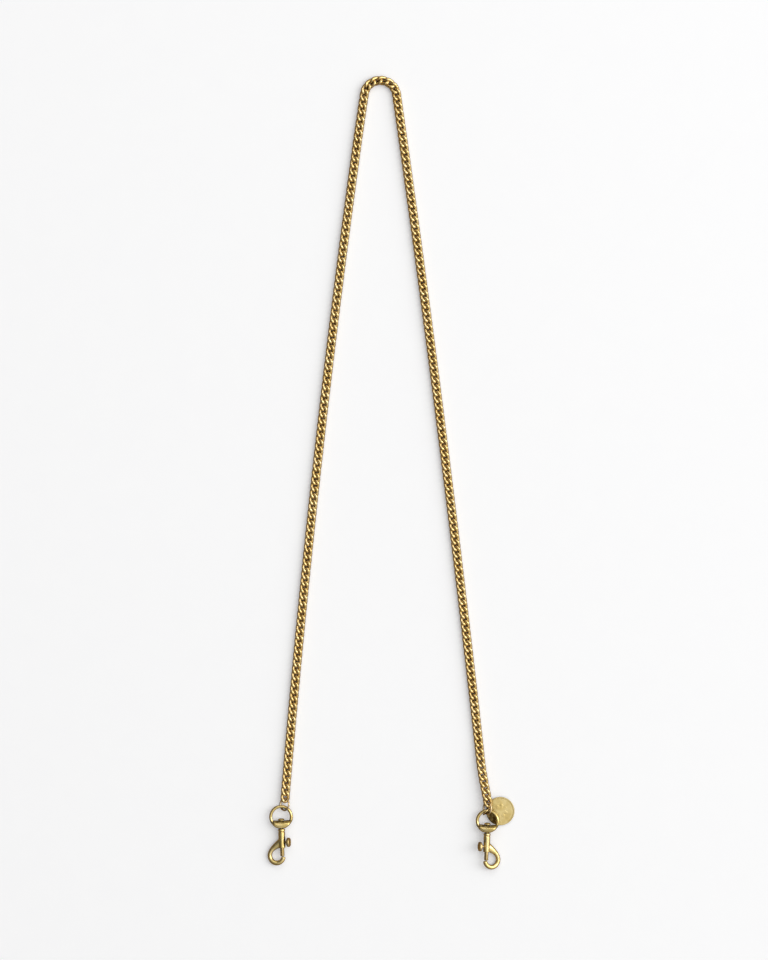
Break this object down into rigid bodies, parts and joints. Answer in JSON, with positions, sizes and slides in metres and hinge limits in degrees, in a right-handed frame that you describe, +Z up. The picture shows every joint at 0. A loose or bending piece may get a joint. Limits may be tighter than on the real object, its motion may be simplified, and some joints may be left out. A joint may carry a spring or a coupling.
{
  "type": "curb chain strap with swivel hooks",
  "caption": "Long twisted curb chain folded in a narrow loop, with a ring and a spring-bolt swivel hook at each end, and a round tag.",
  "frame": {"origin": "centre of the underside of the bounding box", "axes": "+Y towards the fold, along the strap's length; +X across the two legs; +Z up from the surface the strap lies on"},
  "size_m": [0.182, 0.5847, 0.0096],
  "materials": {
    "chain": "antique brass, worn bright on the high points",
    "casting": "antique brass casting, polished, darker in the recesses",
    "tag": "pale satin brass",
    "spring": "spring steel wire"
  },
  "bodies": {
    "crown": {"crown_run": "chain"},
    "left_shoulder": {"left_shoulder_run": "chain"},
    "left_run_01": {"left_run_01": "chain"},
    "left_run_02": {"left_run_02": "chain"},
    "left_run_03": {"left_run_03": "chain"},
    "left_run_04": {"left_run_04": "chain"},
    "left_run_05": {"left_run_05": "chain"},
    "left_run_06": {"left_run_06": "chain"},
    "left_run_07": {"left_run_07": "chain"},
    "left_run_08": {"left_run_08": "chain"},
    "left_run_09": {"left_run_09": "chain"},
    "left_run_10": {"left_run_10": "chain"},
    "left_run_11": {"left_run_11": "chain"},
    "left_run_12": {"left_run_12": "chain"},
    "left_run_13": {"left_run_13": "chain"},
    "left_run_14": {"left_run_14": "chain"},
    "left_run_15": {"left_run_15": "chain"},
    "left_run_16": {"left_run_16": "chain"},
    "left_run_17": {"left_run_17": "chain"},
    "left_run_18": {"left_run_18": "chain"},
    "left_run_19": {"left_run_19": "chain"},
    "left_run_20": {"left_run_20": "chain"},
    "left_run_21": {"left_run_21": "chain"},
    "left_connector": {"left_connector_ring": "chain"},
    "left_eye": {"left_swivel_eye": "casting"},
    "left_hook": {"left_hook_body": "casting", "left_plunger_spring": "spring"},
    "left_bolt": {"left_plunger": "casting", "left_thumb_knob": "casting"},
    "right_shoulder": {"right_shoulder_run": "chain"},
    "right_run_01": {"right_run_01": "chain"},
    "right_run_02": {"right_run_02": "chain"},
    "right_run_03": {"right_run_03": "chain"},
    "right_run_04": {"right_run_04": "chain"},
    "right_run_05": {"right_run_05": "chain"},
    "right_run_06": {"right_run_06": "chain"},
    "right_run_07": {"right_run_07": "chain"},
    "right_run_08": {"right_run_08": "chain"},
    "right_run_09": {"right_run_09": "chain"},
    "right_run_10": {"right_run_10": "chain"},
    "right_run_11": {"right_run_11": "chain"},
    "right_run_12": {"right_run_12": "chain"},
    "right_run_13": {"right_run_13": "chain"},
    "right_run_14": {"right_run_14": "chain"},
    "right_run_15": {"right_run_15": "chain"},
    "right_run_16": {"right_run_16": "chain"},
    "right_run_17": {"right_run_17": "chain"},
    "right_run_18": {"right_run_18": "chain"},
    "right_run_19": {"right_run_19": "chain"},
    "right_run_20": {"right_run_20": "chain"},
    "right_run_21": {"right_run_21": "chain"},
    "right_connector": {"right_connector_ring": "chain"},
    "right_eye": {"right_swivel_eye": "casting"},
    "right_hook": {"right_hook_body": "casting", "right_plunger_spring": "spring"},
    "right_bolt": {"right_plunger": "casting", "right_thumb_knob": "casting"},
    "tag_ring": {"tag_ring": "chain"},
    "tag": {"tag_disc": "tag"}
  },
  "joints": [
    {"name": "left_fold_hinge_a", "type": "hinge", "parent": "crown", "child": "left_shoulder", "pos_m": [-0.01317, 0.28817, 0.002], "axis": [0, 0, -1], "range_deg": [0, 22]},
    {"name": "left_fold_hinge_b", "type": "hinge", "parent": "left_shoulder", "child": "left_run_01", "pos_m": [-0.01957, 0.28085, 0.002], "axis": [0, 0, -1], "range_deg": [0, 22]},
    {"name": "left_hinge_02", "type": "hinge", "parent": "left_run_01", "child": "left_run_02", "pos_m": [-0.02322, 0.25611, 0.002], "axis": [0.9904, -0.1383, 0], "range_deg": [-22, 22]},
    {"name": "left_hinge_03", "type": "hinge", "parent": "left_run_02", "child": "left_run_03", "pos_m": [-0.02665, 0.23133, 0.002], "axis": [0, 0, 1], "range_deg": [-18, 10]},
    {"name": "left_hinge_04", "type": "hinge", "parent": "left_run_03", "child": "left_run_04", "pos_m": [-0.03, 0.20654, 0.002], "axis": [-0.9912, 0.1327, 0], "range_deg": [-22, 22]},
    {"name": "left_hinge_05", "type": "hinge", "parent": "left_run_04", "child": "left_run_05", "pos_m": [-0.03329, 0.18174, 0.002], "axis": [0, 0, -1], "range_deg": [-10, 18]},
    {"name": "left_hinge_06", "type": "hinge", "parent": "left_run_05", "child": "left_run_06", "pos_m": [-0.0365, 0.15694, 0.002], "axis": [0.9919, -0.1271, 0], "range_deg": [-22, 22]},
    {"name": "left_hinge_07", "type": "hinge", "parent": "left_run_06", "child": "left_run_07", "pos_m": [-0.03964, 0.13212, 0.002], "axis": [0, 0, 1], "range_deg": [-18, 18]},
    {"name": "left_hinge_08", "type": "hinge", "parent": "left_run_07", "child": "left_run_08", "pos_m": [-0.04272, 0.10729, 0.002], "axis": [-0.9926, 0.1214, 0], "range_deg": [-22, 22]},
    {"name": "left_hinge_09", "type": "hinge", "parent": "left_run_08", "child": "left_run_09", "pos_m": [-0.04572, 0.08246, 0.002], "axis": [0, 0, -1], "range_deg": [-18, 18]},
    {"name": "left_hinge_10", "type": "hinge", "parent": "left_run_09", "child": "left_run_10", "pos_m": [-0.04865, 0.05762, 0.002], "axis": [0.9933, -0.1158, 0], "range_deg": [-22, 22]},
    {"name": "left_hinge_11", "type": "hinge", "parent": "left_run_10", "child": "left_run_11", "pos_m": [-0.05151, 0.03277, 0.002], "axis": [0, 0, 1], "range_deg": [-18, 18]},
    {"name": "left_hinge_12", "type": "hinge", "parent": "left_run_11", "child": "left_run_12", "pos_m": [-0.0543, 0.00791, 0.002], "axis": [-0.9939, 0.1102, 0], "range_deg": [-22, 22]},
    {"name": "left_hinge_13", "type": "hinge", "parent": "left_run_12", "child": "left_run_13", "pos_m": [-0.05702, -0.01696, 0.002], "axis": [0, 0, -1], "range_deg": [-18, 18]},
    {"name": "left_hinge_14", "type": "hinge", "parent": "left_run_13", "child": "left_run_14", "pos_m": [-0.05967, -0.04183, 0.002], "axis": [0.9945, -0.1045, 0], "range_deg": [-22, 22]},
    {"name": "left_hinge_15", "type": "hinge", "parent": "left_run_14", "child": "left_run_15", "pos_m": [-0.06225, -0.06672, 0.002], "axis": [0, 0, 1], "range_deg": [-18, 18]},
    {"name": "left_hinge_16", "type": "hinge", "parent": "left_run_15", "child": "left_run_16", "pos_m": [-0.06476, -0.0916, 0.002], "axis": [-0.9951, 0.0989, 0], "range_deg": [-22, 22]},
    {"name": "left_hinge_17", "type": "hinge", "parent": "left_run_16", "child": "left_run_17", "pos_m": [-0.0672, -0.1165, 0.002], "axis": [0, 0, -1], "range_deg": [-18, 18]},
    {"name": "left_hinge_18", "type": "hinge", "parent": "left_run_17", "child": "left_run_18", "pos_m": [-0.06957, -0.1414, 0.002], "axis": [0.9956, -0.0932, 0], "range_deg": [-22, 22]},
    {"name": "left_hinge_19", "type": "hinge", "parent": "left_run_18", "child": "left_run_19", "pos_m": [-0.07186, -0.16631, 0.002], "axis": [0, 0, 1], "range_deg": [-18, 18]},
    {"name": "left_hinge_20", "type": "hinge", "parent": "left_run_19", "child": "left_run_20", "pos_m": [-0.07409, -0.19123, 0.002], "axis": [-0.9962, 0.0876, 0], "range_deg": [-22, 22]},
    {"name": "left_hinge_21", "type": "hinge", "parent": "left_run_20", "child": "left_run_21", "pos_m": [-0.07624, -0.21615, 0.00234], "axis": [-0.0031, -0.037, -0.9993], "range_deg": [-18, 18]},
    {"name": "end_left_ring_hinge", "type": "hinge", "parent": "left_run_21", "child": "left_connector", "pos_m": [-0.07839, -0.24184, 0.00307], "axis": [0, 0, 1], "range_deg": [-20, 9]},
    {"name": "end_left_eye_hinge", "type": "hinge", "parent": "left_connector", "child": "left_eye", "pos_m": [-0.08142, -0.2459, 0.00337], "axis": [0, 0, 1], "range_deg": [-5, 20]},
    {"name": "a_left_swivel", "type": "hinge", "parent": "left_eye", "child": "left_hook", "pos_m": [-0.08098, -0.25859, 0.00337], "axis": [-0.0349, 0.9994, 0], "continuous": true},
    {"name": "a_left_bolt_slide", "type": "slide", "parent": "left_hook", "child": "left_bolt", "axis": [-0.0349, 0.9994, 0], "range_m": [0, 0.0036], "stiffness_N_per_m": 120, "springref_m": -0.004, "deforming": ["left_plunger_spring"]},
    {"name": "right_fold_hinge_a", "type": "hinge", "parent": "crown", "child": "right_shoulder", "pos_m": [0.00067, 0.28562, 0.002], "axis": [0, 0, 1], "range_deg": [0, 22]},
    {"name": "right_fold_hinge_b", "type": "hinge", "parent": "right_shoulder", "child": "right_run_01", "pos_m": [0.00429, 0.27652, 0.002], "axis": [0, 0, 1], "range_deg": [0, 22]},
    {"name": "right_hinge_02", "type": "hinge", "parent": "right_run_01", "child": "right_run_02", "pos_m": [0.00779, 0.25176, 0.002], "axis": [0.9903, 0.1392, 0], "range_deg": [-22, 22]},
    {"name": "right_hinge_03", "type": "hinge", "parent": "right_run_02", "child": "right_run_03", "pos_m": [0.01125, 0.22698, 0.002], "axis": [0, 0, 1], "range_deg": [-10, 18]},
    {"name": "right_hinge_04", "type": "hinge", "parent": "right_run_03", "child": "right_run_04", "pos_m": [0.01467, 0.2022, 0.002], "axis": [-0.9907, -0.136, 0], "range_deg": [-22, 22]},
    {"name": "right_hinge_05", "type": "hinge", "parent": "right_run_04", "child": "right_run_05", "pos_m": [0.01806, 0.17742, 0.002], "axis": [0, 0, -1], "range_deg": [-18, 10]},
    {"name": "right_hinge_06", "type": "hinge", "parent": "right_run_05", "child": "right_run_06", "pos_m": [0.0214, 0.15263, 0.002], "axis": [0.9911, 0.1329, 0], "range_deg": [-22, 22]},
    {"name": "right_hinge_07", "type": "hinge", "parent": "right_run_06", "child": "right_run_07", "pos_m": [0.02471, 0.12783, 0.002], "axis": [0, 0, 1], "range_deg": [-18, 18]},
    {"name": "right_hinge_08", "type": "hinge", "parent": "right_run_07", "child": "right_run_08", "pos_m": [0.02797, 0.10303, 0.002], "axis": [-0.9915, -0.1297, 0], "range_deg": [-22, 22]},
    {"name": "right_hinge_09", "type": "hinge", "parent": "right_run_08", "child": "right_run_09", "pos_m": [0.0312, 0.07822, 0.002], "axis": [0, 0, -1], "range_deg": [-18, 18]},
    {"name": "right_hinge_10", "type": "hinge", "parent": "right_run_09", "child": "right_run_10", "pos_m": [0.03438, 0.05341, 0.002], "axis": [0.992, 0.1266, 0], "range_deg": [-22, 22]},
    {"name": "right_hinge_11", "type": "hinge", "parent": "right_run_10", "child": "right_run_11", "pos_m": [0.03753, 0.02859, 0.002], "axis": [0, 0, 1], "range_deg": [-18, 18]},
    {"name": "right_hinge_12", "type": "hinge", "parent": "right_run_11", "child": "right_run_12", "pos_m": [0.04064, 0.00377, 0.002], "axis": [-0.9924, -0.1235, 0], "range_deg": [-22, 22]},
    {"name": "right_hinge_13", "type": "hinge", "parent": "right_run_12", "child": "right_run_13", "pos_m": [0.04371, -0.02105, 0.002], "axis": [0, 0, -1], "range_deg": [-18, 18]},
    {"name": "right_hinge_14", "type": "hinge", "parent": "right_run_13", "child": "right_run_14", "pos_m": [0.04674, -0.04588, 0.002], "axis": [0.9927, 0.1203, 0], "range_deg": [-22, 22]},
    {"name": "right_hinge_15", "type": "hinge", "parent": "right_run_14", "child": "right_run_15", "pos_m": [0.04973, -0.07072, 0.002], "axis": [0, 0, 1], "range_deg": [-18, 18]},
    {"name": "right_hinge_16", "type": "hinge", "parent": "right_run_15", "child": "right_run_16", "pos_m": [0.05268, -0.09556, 0.002], "axis": [-0.9931, -0.1172, 0], "range_deg": [-22, 22]},
    {"name": "right_hinge_17", "type": "hinge", "parent": "right_run_16", "child": "right_run_17", "pos_m": [0.05559, -0.1204, 0.002], "axis": [0, 0, -1], "range_deg": [-18, 18]},
    {"name": "right_hinge_18", "type": "hinge", "parent": "right_run_17", "child": "right_run_18", "pos_m": [0.05846, -0.14525, 0.002], "axis": [0.9935, 0.114, 0], "range_deg": [-22, 22]},
    {"name": "right_hinge_19", "type": "hinge", "parent": "right_run_18", "child": "right_run_19", "pos_m": [0.06129, -0.17011, 0.002], "axis": [0, 0, 1], "range_deg": [-18, 18]},
    {"name": "right_hinge_20", "type": "hinge", "parent": "right_run_19", "child": "right_run_20", "pos_m": [0.06409, -0.19497, 0.002], "axis": [-0.9938, -0.1109, 0], "range_deg": [-22, 22]},
    {"name": "right_hinge_21", "type": "hinge", "parent": "right_run_20", "child": "right_run_21", "pos_m": [0.06693, -0.21982, 0.00339], "axis": [0.0143, -0.1053, -0.9943], "range_deg": [-18, 18]},
    {"name": "end_right_ring_hinge", "type": "hinge", "parent": "right_run_21", "child": "right_connector", "pos_m": [0.07175, -0.24514, 0.00485], "axis": [0, 0, 1], "range_deg": [-14, 9]},
    {"name": "end_right_eye_hinge", "type": "hinge", "parent": "right_connector", "child": "right_eye", "pos_m": [0.0712, -0.24887, 0.00485], "axis": [-0.1391, 0.0049, 0.9903], "range_deg": [-18, 4]},
    {"name": "a_right_swivel", "type": "hinge", "parent": "right_eye", "child": "right_hook", "pos_m": [0.07076, -0.26157, 0.00485], "axis": [0.0349, 0.9994, 0], "continuous": true},
    {"name": "a_right_bolt_slide", "type": "slide", "parent": "right_hook", "child": "right_bolt", "axis": [0.0349, 0.9994, 0], "range_m": [0, 0.0036], "stiffness_N_per_m": 120, "springref_m": -0.004, "deforming": ["right_plunger_spring"]},
    {"name": "tag_ring_hinge", "type": "hinge", "parent": "right_connector", "child": "tag_ring", "pos_m": [0.06937, -0.25063, 0.00299], "axis": [0.4888, -0.5243, 0.6972], "range_deg": [-10, 4]},
    {"name": "tag_swing", "type": "hinge", "parent": "tag_ring", "child": "tag", "pos_m": [0.07073, -0.24756, 0.00211], "axis": [-0.1977, -0.9803, 0], "range_deg": [-10, 6]}
  ]
}
